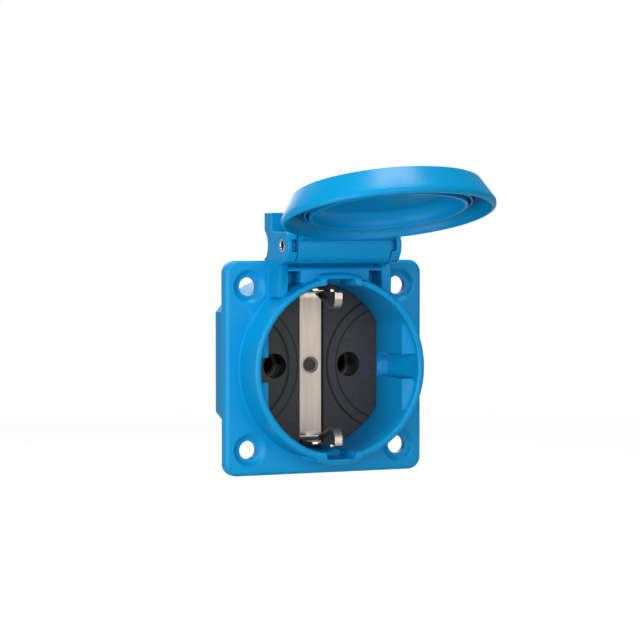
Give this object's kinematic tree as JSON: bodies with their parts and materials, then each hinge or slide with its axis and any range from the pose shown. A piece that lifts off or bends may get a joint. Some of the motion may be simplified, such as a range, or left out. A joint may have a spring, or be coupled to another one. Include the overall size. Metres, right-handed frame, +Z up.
{
  "type": "panel mount earthed socket with hinged lid",
  "caption": "Square flange panel socket with a round recessed well, side earth clips, pin holes, rear screw terminals and a hinged round lid shown open.",
  "frame": {"origin": "centre of the fixing hole pattern, on the back face of the flange", "axes": "+Y into the panel, +Z up towards the hinge, +X to the right seen from the front"},
  "size_m": [0.05, 0.0866, 0.0709],
  "materials": {
    "blue_plastic": "satin moulded",
    "black_plastic": "fine matt",
    "seal_rubber": "matt",
    "nickel_plate": "rolled and plated",
    "bright_steel": "zinc plated",
    "contact_brass": "rolled"
  },
  "bodies": {
    "socket": {"housing": "blue_plastic", "hinge_pin": "bright_steel", "insert_plate": "black_plastic", "terminal_carrier": "black_plastic", "earth_strap": "nickel_plate", "earth_rivet": "nickel_plate", "earth_bar": "contact_brass", "live_contact": "contact_brass", "neutral_contact": "contact_brass", "live_band": "bright_steel", "neutral_band": "bright_steel", "live_clamp": "bright_steel", "neutral_clamp": "bright_steel", "earth_clamp": "bright_steel", "live_screw": "bright_steel", "neutral_screw": "bright_steel", "earth_screw": "bright_steel", "carrier_screws": "bright_steel"},
    "lid": {"lid": "blue_plastic", "lid_seal": "seal_rubber"}
  },
  "joints": [
    {"name": "lid_hinge", "type": "hinge", "parent": "socket", "child": "lid", "pos_m": [0, -0.0104, 0.02855], "axis": [1, 0, 0], "range_deg": [0, 103]}
  ]
}
